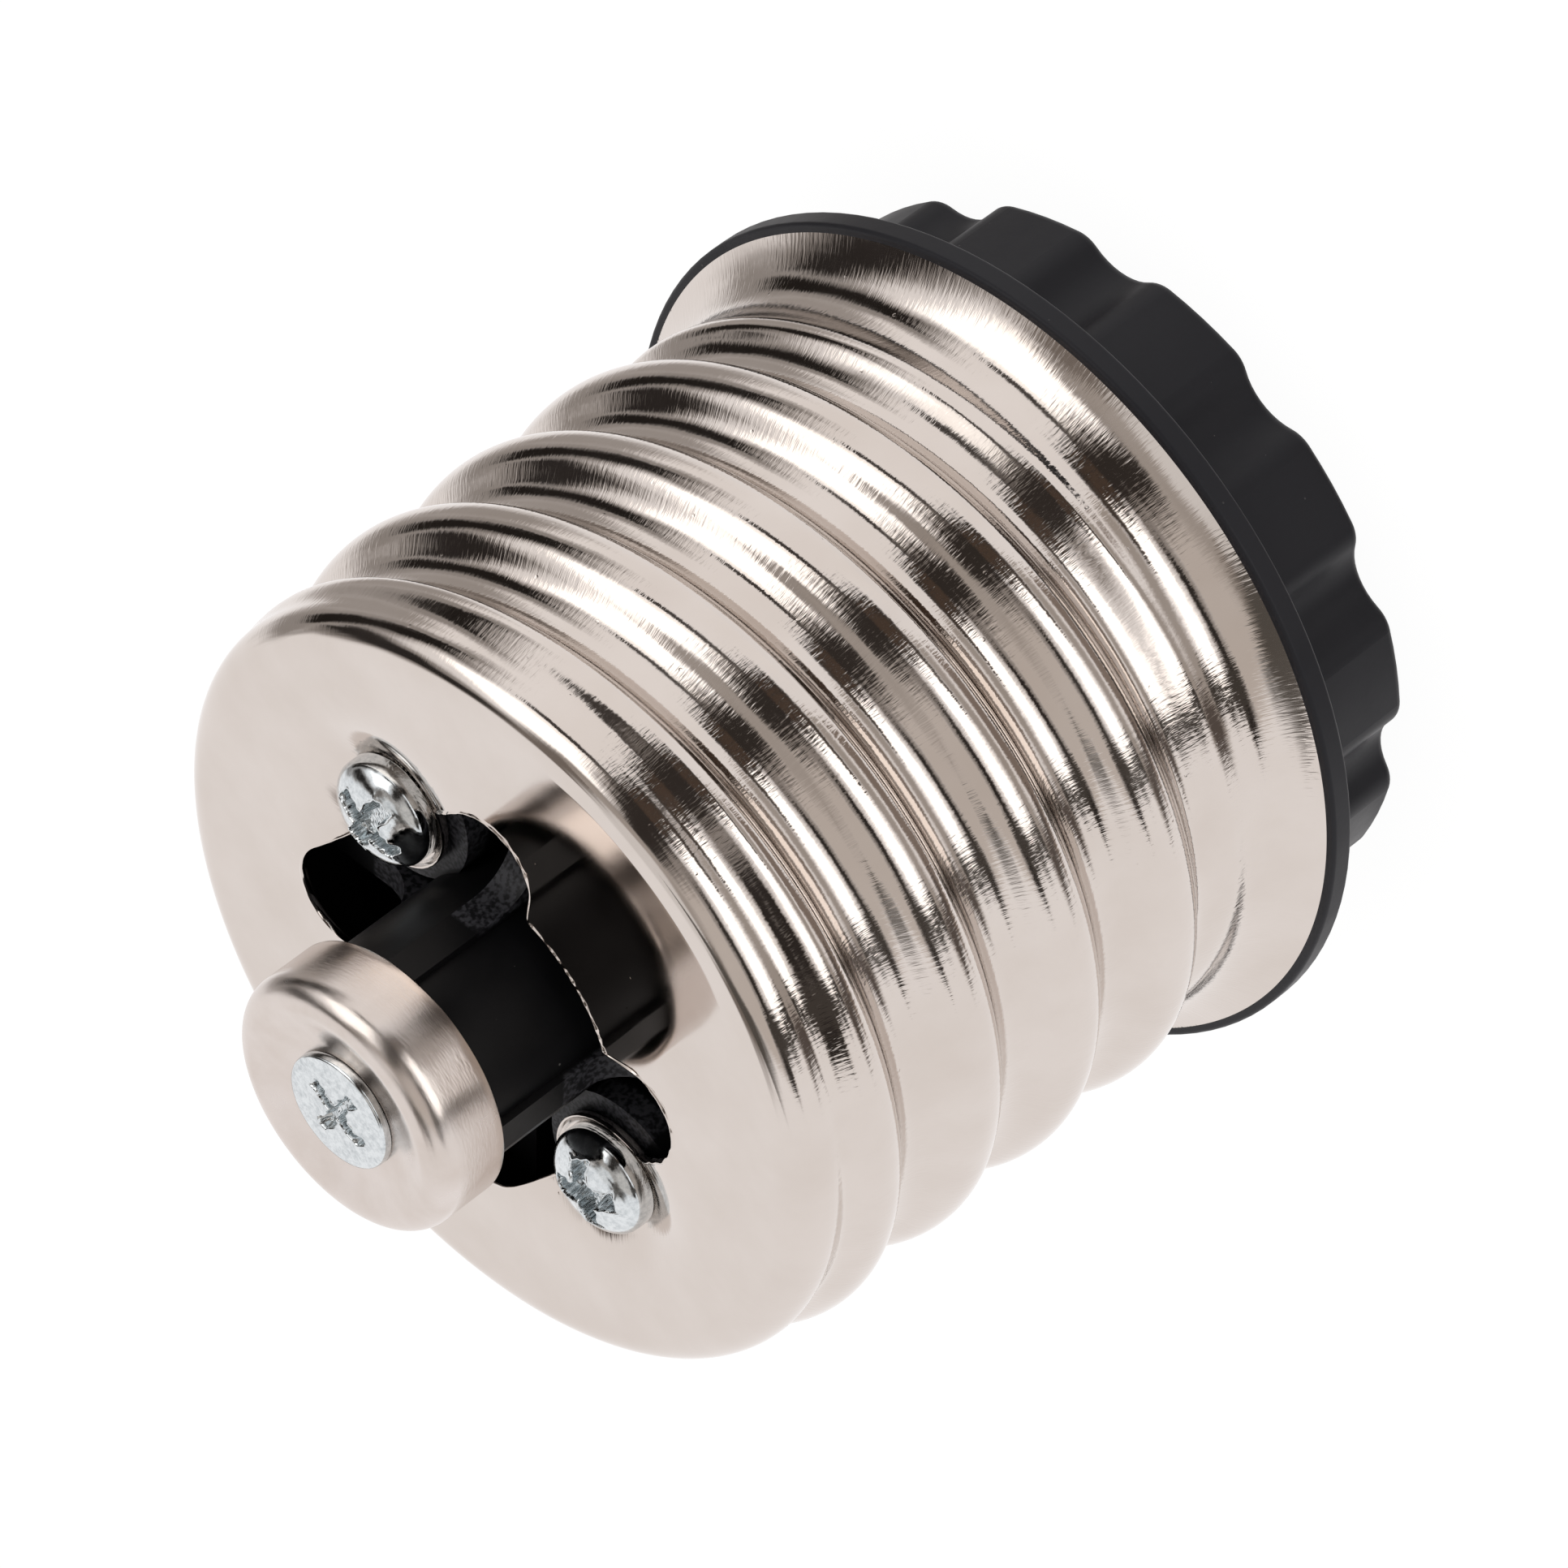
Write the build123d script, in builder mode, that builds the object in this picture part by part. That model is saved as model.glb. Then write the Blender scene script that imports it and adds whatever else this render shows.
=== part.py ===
"""Lamp socket adapter: a large screw shell outside, a medium screw socket inside.

The part stands on the mouth of its socket, with the end contact on top. The mouth's rim
is the plane Z = 0, the screw axis is Z, and the two shell screws lie on the X axis.
All sizes are in millimetres.
"""
import os
from dataclasses import dataclass
from math import atan, cos, radians, sin, sqrt

from build123d import *

# Moulded insulating body
collar_height = 7.3
collar_radius = 18.0
collar_valley_depth = 1.0
collar_valley_radius = 2.6
collar_corner_radius = 1.6
collar_scallops = 12
collar_edge_radius = 0.5
flange_radius = 21.15
flange_thickness = 1.2
flange_edge_radius = 0.2
floor_thickness = 3.0
platform_height = 2.6
mouth_ledge = 1.0
mouth_step = 0.4
mouth_chamfer = 0.8
barrel_gap = 0.3
barrel_setback = 2.2
rib_width = 1.6
rib_gap = 0.05
rib_proud = 0.35
rib_angle = 44.5
rib_foot_radius = 2.4
web_setback = 2.5
boss_radius = 4.0
boss_height = 3.5
shell_clearance = 0.3

# Outer screw shell, a drawn and rolled sheet
outer_sheet = 0.4
outer_pitch = 6.35
outer_crest_radius = 19.65
outer_thread_depth = 1.75
outer_height = 31.6
outer_neck_inset = 1.15
outer_rim_inset = 0.65
outer_corner_radius = 1.7
outer_flare = 2.2
outer_flare_height = 3.0
outer_run_in = 3.5
outer_run_out = 2.4
outer_crest_lift = 4.05

# Opening in the outer shell's end plate, and the ears that the screws pull down
opening_radius = 7.5
lobe_offset = 8.5
lobe_radius = 2.7
ear_radius = 3.1
ear_drop = 1.2
ear_flat_margin = 0.1
ear_ramp = 3.0
opening_corner_radius = 0.7

# Inner screw shell, which takes the lamp
inner_sheet = 0.35
lamp_pitch = 25.4 / 7
lamp_groove_radius = 13.45
lamp_thread_depth = 1.0
inner_setback = 6.0
inner_neck_inset = 0.3
inner_rim_inset = 0.4
inner_corner_radius = 1.2
inner_flare = 0.3
inner_flare_height = 1.0
inner_run = 2.0
inner_opening_radius = 6.6

# Shell screws and their nuts
screw_circle_radius = 9.4
screw_radius = 1.25
screw_tail = 0.95
screw_head_radius = 2.65
screw_head_height = 1.95
screw_head_rim = 0.7
screw_head_shoulder = 0.62
screw_head_shoulder_drop = 0.3
screw_nut_flats = 5.0
screw_nut_height = 2.0
screw_hole_clearance = 0.2
nut_thread_clearance = 0.05

# End contact: cap, long screw and nut
cap_radius = 6.42
cap_sheet = 0.4
cap_height = 3.75
cap_corner_radius = 1.2
cap_dish = 0.55
cap_dish_radius = 3.2
cap_dish_edge_radius = 4.9
cap_stand_off = 9.0
contact_screw_radius = 1.5
contact_screw_tail = 0.3
contact_head_radius = 2.87
contact_head_height = 0.55
contact_head_chamfer = 0.15
contact_nut_flats = 5.5
contact_nut_height = 2.4

# Cross recess of all three screws
recess_span = 3.1
recess_width = 0.6
recess_depth = 0.9
recess_taper = 12.0

# Sprung contact leaf and its rivet, inside the socket
leaf_sheet = 0.4
leaf_width = 6.0
leaf_tail = 4.0
leaf_fold_at = 8.0
leaf_fold_radius = 1.2
leaf_pad_half = 3.0
rivet_shank_radius = 0.75
rivet_head_radius = 2.2
rivet_head_height = 1.3
rivet_head_rim = 0.9
rivet_tail_radius = 1.3
rivet_tail_height = 0.5
rivet_travel = 1.5
rivet_stop_gap = 0.3

# Levels that several pieces share
flange_z = collar_height + flange_thickness
plate_z = flange_z + outer_height
ear_z = plate_z - ear_drop
boss_z = ear_z - outer_sheet
floor_top_z = boss_z - boss_height
floor_z = floor_top_z - floor_thickness
platform_z = floor_z - platform_height
cap_z = plate_z + cap_stand_off
seat_z = cap_z - cap_dish
post_z = seat_z - cap_sheet
nut_z = platform_z - leaf_sheet - contact_nut_height
screw_nut_z = floor_z - inner_sheet - screw_nut_height
contact_tip_z = nut_z - contact_screw_tail
pad_z = contact_tip_z - rivet_travel - rivet_stop_gap - rivet_tail_height
inner_crest_radius = lamp_groove_radius + inner_sheet
cavity_radius = inner_crest_radius + shell_clearance
mouth_radius = cavity_radius + mouth_step
outer_root_radius = outer_crest_radius - outer_thread_depth
barrel_radius = outer_root_radius - outer_sheet - barrel_gap
platform_radius = inner_opening_radius - shell_clearance
rib_radius = cap_radius - cap_sheet - rib_gap
post_radius = rib_radius - rib_proud
screw_hole_radius = screw_radius + screw_hole_clearance
ear_flat_radius = screw_head_radius + ear_flat_margin
contact_hole_radius = contact_screw_radius + screw_hole_clearance

# How finely the threads are drawn
levels_per_pitch = 12
points_per_turn = 40
corner_steps = 5


def ease(t):
    """Smooth step from 0 to 1, flat at both ends."""
    t = min(max(t, 0), 1)
    return t * t * (3 - 2 * t)


@dataclass
class RolledShell:
    """A sheet cup with a rolled thread, open at its low end and closed at its top.

    All radii are those of the sheet's outer surface.
    """

    sheet: float
    pitch: float
    crest: float
    root: float
    low_z: float
    top_z: float
    neck: float
    rim: float
    corner: float
    flare: float
    flare_height: float
    run_in: float
    run_out: float
    crest_lift: float

    def wave(self, turns, inset):
        """Radius of the thread alone: a crest arc and a root arc that meet at a tangent."""
        angle = 2 * atan((self.crest - self.root) / (self.pitch / 2))
        arc = self.pitch / 4 / sin(angle)
        crest_arc = arc - inset
        root_arc = arc + inset
        along = abs(turns - round(turns)) * self.pitch
        if along < crest_arc * sin(angle):
            return self.crest - inset - crest_arc + sqrt(crest_arc**2 - along**2)
        return self.root - inset + root_arc - sqrt(root_arc**2 - (self.pitch / 2 - along) ** 2)

    def radius(self, angle, z, inset):
        """Radius of the surface that lies the inset inside the sheet's outer face."""
        middle = (self.crest + self.root) / 2
        thread_low = self.low_z + self.flare_height
        thread_top = self.top_z - self.corner
        grown = ease((z - thread_low) / self.run_in)
        left = ease((thread_top - z) / self.run_out)
        plain = self.neck + (middle - self.neck) * grown + (self.rim - middle) * (1 - left)
        turns = (z - self.low_z - self.crest_lift) / self.pitch - angle / 360
        thread = grown * left * (self.wave(turns, inset) + inset - middle)
        fall = max(thread_low - z, 0) / self.flare_height
        lip = self.flare * fall**2.4
        slope = 2.4 * self.flare / self.flare_height * fall**1.4
        bend = self.corner - inset
        rise = min(max(z - thread_top, 0), bend)
        corner = bend - sqrt(bend**2 - rise**2)
        return plain + thread + lip - inset * sqrt(1 + slope**2) - corner

    def levels(self, inset):
        """Heights of the sections, close together where the surface bends."""
        thread_low = self.low_z + self.flare_height
        thread_top = self.top_z - self.corner
        flare = [self.low_z + self.flare_height * k / 6 for k in range(6)]
        count = round((thread_top - thread_low) / self.pitch * levels_per_pitch)
        thread = [thread_low + (thread_top - thread_low) * k / count for k in range(count + 1)]
        bend = self.corner - inset
        turned = [radians(90 * k / corner_steps) for k in range(1, corner_steps + 1)]
        corner = [thread_top + bend * sin(angle) for angle in turned]
        return flare + thread + corner

    def section(self, z, inset):
        """One closed outline at a height."""
        with BuildSketch(Plane.XY.offset(z)) as outline:
            with BuildLine():
                points = []
                for step in range(points_per_turn):
                    angle = 360 * step / points_per_turn
                    radius = self.radius(angle, z, inset)
                    points.append((radius * cos(radians(angle)), radius * sin(radians(angle))))
                Spline(*points, periodic=True)
            make_face()
        return outline.sketch

    def surface(self, inset):
        """Faces of the solid block inside a surface, from its flat low end to its flat top."""
        with BuildPart() as block:
            loft(sections=[self.section(z, inset) for z in self.levels(inset)], ruled=True)
        return block.faces().sort_by(Axis.Z)

    def solid(self):
        """The sheet between its outer and inner surface, closed at the lip by a flat ring."""
        outside = self.surface(0)
        inside = self.surface(self.sheet)
        lip = Face(outside[0].outer_wire(), [inside[0].outer_wire()])
        return Solid(Shell([*outside[1:], *inside[1:], lip]))


outer_form = RolledShell(
    sheet=outer_sheet,
    pitch=outer_pitch,
    crest=outer_crest_radius,
    root=outer_root_radius,
    low_z=flange_z,
    top_z=plate_z,
    neck=outer_crest_radius - outer_neck_inset,
    rim=outer_crest_radius - outer_rim_inset,
    corner=outer_corner_radius,
    flare=outer_flare,
    flare_height=outer_flare_height,
    run_in=outer_run_in,
    run_out=outer_run_out,
    crest_lift=outer_crest_lift,
)

inner_form = RolledShell(
    sheet=inner_sheet,
    pitch=lamp_pitch,
    crest=inner_crest_radius,
    root=inner_crest_radius - lamp_thread_depth,
    low_z=inner_setback,
    top_z=floor_z,
    neck=inner_crest_radius - inner_neck_inset,
    rim=inner_crest_radius - inner_rim_inset,
    corner=inner_corner_radius,
    flare=inner_flare,
    flare_height=inner_flare_height,
    run_in=inner_run,
    run_out=inner_run,
    crest_lift=0,
)

# The body is one black moulding: scalloped collar, flange, barrel, floor and post.
barrel_z = plate_z - barrel_setback
web_z = plate_z - web_setback

with BuildPart() as body:
    with BuildSketch(Plane.XY) as collar:
        Circle(collar_radius)
        valley_centre = collar_radius - collar_valley_depth + collar_valley_radius
        with PolarLocations(valley_centre, collar_scallops, start_angle=180 / collar_scallops):
            Circle(collar_valley_radius, mode=Mode.SUBTRACT)
        fillet(collar.vertices(), collar_corner_radius)
    extrude(amount=collar_height)
    fillet(body.faces().sort_by(Axis.Z)[0].edges(), collar_edge_radius)
    with BuildSketch(Plane.XY.offset(collar_height)):
        Circle(flange_radius)
    flange = extrude(amount=flange_thickness)
    fillet(flange.edges().filter_by(GeomType.CIRCLE), flange_edge_radius)
    with BuildSketch(Plane.XY.offset(flange_z)):
        Circle(barrel_radius)
    extrude(amount=barrel_z - flange_z)
    with BuildSketch(Plane.XY):
        Circle(cavity_radius)
    extrude(amount=floor_z, mode=Mode.SUBTRACT)
    with BuildSketch(Plane.XY.offset(floor_top_z)):
        Circle(cavity_radius)
    extrude(amount=barrel_z - floor_top_z, mode=Mode.SUBTRACT)
    with BuildSketch(Plane.XY):
        Circle(mouth_radius)
    extrude(amount=inner_setback - mouth_ledge, mode=Mode.SUBTRACT)
    Cone(
        mouth_radius + mouth_chamfer,
        mouth_radius,
        mouth_chamfer,
        align=(Align.CENTER, Align.CENTER, Align.MIN),
        mode=Mode.SUBTRACT,
    )
    with BuildSketch(Plane.XY.offset(platform_z)):
        Circle(platform_radius)
    extrude(amount=platform_height)
    with BuildSketch(Plane.XY.offset(floor_top_z)):
        with Locations((screw_circle_radius, 0), (-screw_circle_radius, 0)):
            Circle(boss_radius)
    extrude(amount=boss_z - floor_top_z)
    for quarter in (rib_angle, 180 - rib_angle, 180 + rib_angle, -rib_angle):
        with BuildSketch(Plane.XZ.rotated((0, 0, quarter))):
            with BuildLine():
                foot = JernArc(
                    start=(rib_radius, web_z + rib_foot_radius),
                    tangent=(0, -1),
                    radius=rib_foot_radius,
                    arc_size=90,
                )
                Polyline(
                    foot @ 1,
                    (cavity_radius, web_z),
                    (cavity_radius, floor_top_z),
                    (0, floor_top_z),
                    (0, post_z - cap_sheet),
                    (rib_radius, post_z - cap_sheet),
                    foot @ 0,
                )
            make_face()
        extrude(amount=rib_width / 2, both=True)
    with BuildSketch(Plane.XY.offset(floor_top_z)):
        Circle(post_radius)
    extrude(amount=post_z - floor_top_z)
    with BuildSketch(Plane.XY.offset(platform_z)):
        Circle(contact_hole_radius)
    extrude(amount=post_z - platform_z, mode=Mode.SUBTRACT)
    with BuildSketch(Plane.XY.offset(floor_z)):
        with Locations((screw_circle_radius, 0), (-screw_circle_radius, 0)):
            Circle(screw_hole_radius)
    extrude(amount=boss_z - floor_z, mode=Mode.SUBTRACT)
body.part.label = "insulating_body"

# The outer shell carries the rolled thread. Its end plate has a four-lobed opening round
# the post and two ears that the screws pull down onto the bosses.
with BuildPart() as outer_shell:
    add(outer_form.solid())
    with Locations((screw_circle_radius, 0, boss_z), (-screw_circle_radius, 0, boss_z)):
        Cone(
            ear_flat_radius + ear_ramp * outer_sheet / ear_drop,
            ear_flat_radius + ear_ramp * (1 + outer_sheet / ear_drop),
            ear_drop,
            align=(Align.CENTER, Align.CENTER, Align.MIN),
        )
    with Locations((screw_circle_radius, 0, ear_z), (-screw_circle_radius, 0, ear_z)):
        Cone(
            ear_flat_radius,
            ear_flat_radius + ear_ramp,
            ear_drop,
            align=(Align.CENTER, Align.CENTER, Align.MIN),
            mode=Mode.SUBTRACT,
        )
    with BuildSketch(Plane.XY.offset(boss_z)) as opening:
        Circle(opening_radius)
        lobe_x = lobe_offset * cos(radians(rib_angle))
        lobe_y = lobe_offset * sin(radians(rib_angle))
        with GridLocations(2 * lobe_x, 2 * lobe_y, 2, 2):
            Circle(lobe_radius)
        Rectangle(2 * (lobe_x + lobe_radius), 2 * lobe_y)
        with Locations((screw_circle_radius, 0), (-screw_circle_radius, 0)):
            Circle(ear_radius, mode=Mode.SUBTRACT)
        fillet(opening.vertices(), opening_corner_radius)
    extrude(amount=plate_z - boss_z, mode=Mode.SUBTRACT)
    with BuildSketch(Plane.XY.offset(boss_z)):
        with Locations((screw_circle_radius, 0), (-screw_circle_radius, 0)):
            Circle(screw_hole_radius)
    extrude(amount=ear_drop, mode=Mode.SUBTRACT)
outer_shell.part.label = "outer_screw_shell"

# The inner shell takes the lamp. Its end plate lies on the body's floor.
with BuildPart() as inner_shell:
    add(inner_form.solid())
    with BuildSketch(Plane.XY.offset(floor_z - inner_sheet)):
        Circle(inner_opening_radius)
        with Locations((screw_circle_radius, 0), (-screw_circle_radius, 0)):
            Circle(screw_hole_radius)
    extrude(amount=inner_sheet, mode=Mode.SUBTRACT)
inner_shell.part.label = "inner_screw_shell"

# The end contact is a drawn cap, dished round the screw that holds it on the post.
with BuildPart() as contact_cap:
    with BuildSketch(Plane.XZ):
        with BuildLine():
            skirt_z = cap_z - cap_height
            shoulder_z = cap_z - cap_corner_radius
            inner_radius = cap_radius - cap_sheet
            outside = JernArc(
                start=(cap_radius, shoulder_z), tangent=(0, 1), radius=cap_corner_radius, arc_size=90
            )
            inside = JernArc(
                start=(inner_radius, shoulder_z),
                tangent=(0, 1),
                radius=cap_corner_radius - cap_sheet,
                arc_size=90,
            )
            Polyline(outside @ 0, (cap_radius, skirt_z), (inner_radius, skirt_z), inside @ 0)
            Polyline(
                outside @ 1,
                (cap_dish_edge_radius, cap_z),
                (cap_dish_radius, seat_z),
                (contact_hole_radius, seat_z),
                (contact_hole_radius, post_z),
                (cap_dish_radius, post_z),
                (cap_dish_edge_radius, cap_z - cap_sheet),
                inside @ 1,
            )
        make_face()
    revolve(axis=Axis.Z)
contact_cap.part.label = "contact_cap"

# The long screw holds the cap and carries the current down through the post to the leaf.
with BuildPart() as contact_screw:
    with BuildSketch(Plane.XY.offset(seat_z)):
        Circle(contact_head_radius)
    extrude(amount=contact_head_height)
    chamfer(contact_screw.faces().sort_by(Axis.Z)[-1].edges(), contact_head_chamfer)
    with BuildSketch(Plane.XY.offset(seat_z + contact_head_height)):
        Rectangle(recess_span, recess_width)
        Rectangle(recess_width, recess_span)
    extrude(amount=-recess_depth, taper=recess_taper, mode=Mode.SUBTRACT)
    with BuildSketch(Plane.XY.offset(seat_z)):
        Circle(contact_screw_radius)
    extrude(amount=contact_tip_z - seat_z)
contact_screw.part.label = "contact_screw"

# Hexagon nut of the long screw, under the leaf's base.
with BuildPart() as contact_nut:
    with BuildSketch(Plane.XY.offset(nut_z)):
        RegularPolygon(contact_nut_flats / 2, 6, major_radius=False)
        Circle(contact_screw_radius + nut_thread_clearance, mode=Mode.SUBTRACT)
    extrude(amount=contact_nut_height)
contact_nut.part.label = "contact_nut"

# The leaf is one bent strip: its base is clamped under the nut and its tongue springs.
leaf_top = platform_z - leaf_sheet / 2
with BuildPart() as contact_leaf:
    with BuildSketch(Plane.YZ):
        with BuildLine() as leaf_path:
            base = Line((-leaf_tail, leaf_top), (leaf_fold_at, leaf_top))
            fold = JernArc(start=base @ 1, tangent=(1, 0), radius=leaf_fold_radius, arc_size=-180)
            tongue_z = pad_z - leaf_sheet / 2
            Polyline(fold @ 1, (leaf_pad_half, tongue_z), (-leaf_pad_half, tongue_z))
        trace(line_width=leaf_sheet)
    extrude(amount=leaf_width / 2, both=True)
    with BuildSketch(Plane.XY.offset(platform_z - leaf_sheet)):
        Circle(contact_hole_radius)
    extrude(amount=leaf_sheet, mode=Mode.SUBTRACT)
    with BuildSketch(Plane.XY.offset(pad_z - leaf_sheet)):
        Circle(rivet_shank_radius + nut_thread_clearance)
    extrude(amount=leaf_sheet, mode=Mode.SUBTRACT)
contact_leaf.part.label = "contact_leaf"

# The rivet is the point that meets the lamp. It rides up as a lamp is screwed home.
with BuildPart() as contact_rivet:
    with BuildSketch(Plane.XZ):
        with BuildLine():
            head_z = pad_z - leaf_sheet
            dome_height = rivet_head_height - rivet_head_rim
            dome = RadiusArc(
                (0, head_z - rivet_head_height),
                (rivet_head_radius, head_z - rivet_head_rim),
                -(rivet_head_radius**2 + dome_height**2) / (2 * dome_height),
            )
            Polyline(
                dome @ 1,
                (rivet_head_radius, head_z),
                (rivet_shank_radius, head_z),
                (rivet_shank_radius, pad_z),
                (rivet_tail_radius, pad_z),
                (rivet_tail_radius, pad_z + rivet_tail_height),
                (0, pad_z + rivet_tail_height),
                (0, head_z - rivet_head_height),
            )
        make_face()
    revolve(axis=Axis.Z)
contact_rivet.part.label = "contact_rivet"

pieces = [
    body,
    outer_shell,
    inner_shell,
    contact_cap,
    contact_screw,
    contact_nut,
    contact_leaf,
    contact_rivet,
]

# Two shell screws go down through the ears and the body into nuts under the inner shell.
for side, screw_x in (("right", screw_circle_radius), ("left", -screw_circle_radius)):
    shoulder_z = ear_z + screw_head_height - screw_head_shoulder_drop
    with BuildPart() as shell_screw:
        with BuildSketch(Plane((screw_x, 0, 0), x_dir=(1, 0, 0), z_dir=(0, -1, 0))):
            with BuildLine():
                crown = ThreePointArc(
                    (0, ear_z + screw_head_height),
                    (screw_head_radius * screw_head_shoulder, shoulder_z),
                    (screw_head_radius, ear_z + screw_head_rim),
                )
                Polyline(
                    crown @ 1,
                    (screw_head_radius, ear_z),
                    (screw_radius, ear_z),
                    (screw_radius, screw_nut_z - screw_tail),
                    (0, screw_nut_z - screw_tail),
                    (0, ear_z + screw_head_height),
                )
            make_face()
        revolve(axis=Axis((screw_x, 0, 0), (0, 0, 1)))
        with BuildSketch(Plane.XY.offset(ear_z + screw_head_height)):
            with Locations((screw_x, 0)):
                Rectangle(recess_span, recess_width)
                Rectangle(recess_width, recess_span)
        extrude(amount=-recess_depth, taper=recess_taper, mode=Mode.SUBTRACT)
    shell_screw.part.label = f"shell_screw_{side}"
    with BuildPart() as shell_nut:
        with BuildSketch(Plane.XY.offset(screw_nut_z)):
            with Locations((screw_x, 0)):
                RegularPolygon(screw_nut_flats / 2, 6, major_radius=False, rotation=30)
                Circle(screw_radius + nut_thread_clearance, mode=Mode.SUBTRACT)
        extrude(amount=screw_nut_height)
    shell_nut.part.label = f"shell_nut_{side}"
    pieces += [shell_screw, shell_nut]

os.makedirs("parts", exist_ok=True)
for piece in pieces:
    export_step(piece.part, f"parts/{piece.part.label}.step")
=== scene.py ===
"""Lamp socket adapter: looks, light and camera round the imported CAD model. All in metres."""
from math import atan, cos, pi, radians, sin

import bpy
import numpy as np
from mathutils import Matrix, Vector


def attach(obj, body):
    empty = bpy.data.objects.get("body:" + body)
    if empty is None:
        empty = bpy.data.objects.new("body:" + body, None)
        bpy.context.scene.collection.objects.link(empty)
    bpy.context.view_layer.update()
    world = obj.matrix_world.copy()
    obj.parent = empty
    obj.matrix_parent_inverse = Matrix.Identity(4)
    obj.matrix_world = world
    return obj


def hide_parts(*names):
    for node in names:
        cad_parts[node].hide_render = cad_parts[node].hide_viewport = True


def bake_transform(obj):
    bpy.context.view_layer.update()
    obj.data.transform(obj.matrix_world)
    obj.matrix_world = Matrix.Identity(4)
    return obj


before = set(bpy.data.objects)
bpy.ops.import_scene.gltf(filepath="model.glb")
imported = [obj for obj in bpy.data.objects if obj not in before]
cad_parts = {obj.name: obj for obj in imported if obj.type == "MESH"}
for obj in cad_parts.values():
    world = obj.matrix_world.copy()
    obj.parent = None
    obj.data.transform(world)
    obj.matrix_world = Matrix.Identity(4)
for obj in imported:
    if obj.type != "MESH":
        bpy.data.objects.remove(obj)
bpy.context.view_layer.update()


# Insulating body: one moulding of black phenolic, from the scalloped collar through the
# flange and barrel to the ribbed post. The mould left a fine grain, which looks matt and
# nearly black, and the part has picked up a little dust.
mm = 0.001


def tone(code):
    """An sRGB hex colour as linear values."""
    parts = [int(code[k : k + 2], 16) / 255 for k in (1, 3, 5)]
    linear = [c / 12.92 if c <= 0.04045 else ((c + 0.055) / 1.055) ** 2.4 for c in parts]
    return (*linear, 1.0)


def add(tree, kind, sets=(), links=(), **settings):
    """Adds one node with its settings, its sockets' values and its links."""
    node = tree.nodes.new(kind)
    for key, value in settings.items():
        setattr(node, key, value)
    for socket, value in dict(sets).items():
        node.inputs[socket].default_value = value
    for socket, output in dict(links).items():
        tree.links.new(output, node.inputs[socket])
    return node


black_phenolic = bpy.data.materials.new("black_phenolic_moulded")
black_phenolic.use_nodes = True
tree = black_phenolic.node_tree
shader = tree.nodes["Principled BSDF"]
place = add(tree, "ShaderNodeTexCoord").outputs["Object"]
grain = add(
    tree,
    "ShaderNodeTexNoise",
    {"Scale": 1 / (0.35 * mm), "Detail": 3, "Roughness": 0.6},
    {"Vector": place},
)
clouds = add(
    tree,
    "ShaderNodeTexNoise",
    {"Scale": 1 / (6 * mm), "Detail": 4, "Roughness": 0.6},
    {"Vector": place},
)
specks = add(
    tree, "ShaderNodeTexVoronoi", {"Scale": 1 / (0.9 * mm), "Randomness": 1}, {"Vector": place}
)
speck_size = add(
    tree, "ShaderNodeMath", {1: 0.085}, {0: specks.outputs["Color"]}, operation="MULTIPLY"
)
dust = add(
    tree,
    "ShaderNodeMath",
    {},
    {0: specks.outputs["Distance"], 1: speck_size.outputs[0]},
    operation="LESS_THAN",
)
patchy = add(
    tree,
    "ShaderNodeMapRange",
    {"From Min": 0.5, "From Max": 0.62, "To Min": 0, "To Max": 0.5},
    {"Value": clouds.outputs["Fac"]},
)
dusty = add(
    tree,
    "ShaderNodeMath",
    {},
    {0: dust.outputs[0], 1: patchy.outputs[0]},
    operation="MULTIPLY",
)
ramp = add(tree, "ShaderNodeValToRGB", {}, {"Fac": clouds.outputs["Fac"]})
ramp.color_ramp.elements[0].position = 0.35
ramp.color_ramp.elements[0].color = tone("#08080A")
ramp.color_ramp.elements[1].position = 0.7
ramp.color_ramp.elements[1].color = tone("#101012")
specks_and_sheen = add(
    tree,
    "ShaderNodeMixRGB",
    {"Color2": tone("#8E8C88")},
    {"Fac": dusty.outputs[0], "Color1": ramp.outputs[0]},
)
gloss = add(
    tree,
    "ShaderNodeMapRange",
    {"From Min": 0.3, "From Max": 0.7, "To Min": 0.36, "To Max": 0.52},
    {"Value": clouds.outputs["Fac"]},
)
relief = add(
    tree,
    "ShaderNodeBump",
    {"Strength": 0.25, "Distance": 0.02 * mm},
    {"Height": grain.outputs["Fac"]},
)
# The rib feet came rough from the mould: a grey, grainy patch of painted sheen where each meets the
# web.
parts = add(tree, "ShaderNodeSeparateXYZ", {}, {0: place})
flat = add(tree, "ShaderNodeCombineXYZ", {}, {0: parts.outputs["X"], 1: parts.outputs["Y"]})
from_axis = add(tree, "ShaderNodeVectorMath", {}, {0: flat.outputs[0]}, operation="LENGTH")
foot_radii, foot_levels, foot_fade = (5.75, 9.3), (37.2, 41.4), 0.15
limits = []
for value, (low, high) in (
    (from_axis.outputs["Value"], foot_radii),
    (parts.outputs["Z"], foot_levels),
):
    for start, end in ((low, low + foot_fade), (high, high - foot_fade)):
        span = {"From Min": start * mm, "From Max": end * mm}
        limits.append(add(tree, "ShaderNodeMapRange", span, {"Value": value}))
foot = limits[0]
for limit in limits[1:]:
    foot = add(
        tree,
        "ShaderNodeMath",
        {},
        {0: foot.outputs[0], 1: limit.outputs[0]},
        operation="MULTIPLY",
    )
sand = add(tree, "ShaderNodeTexNoise", {"Scale": 1 / (0.22 * mm), "Detail": 1}, {"Vector": place})
gritty = add(
    tree,
    "ShaderNodeMapRange",
    {"From Min": 0.4, "From Max": 0.6, "To Min": 0.1, "To Max": 1},
    {"Value": sand.outputs["Fac"]},
)
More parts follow.
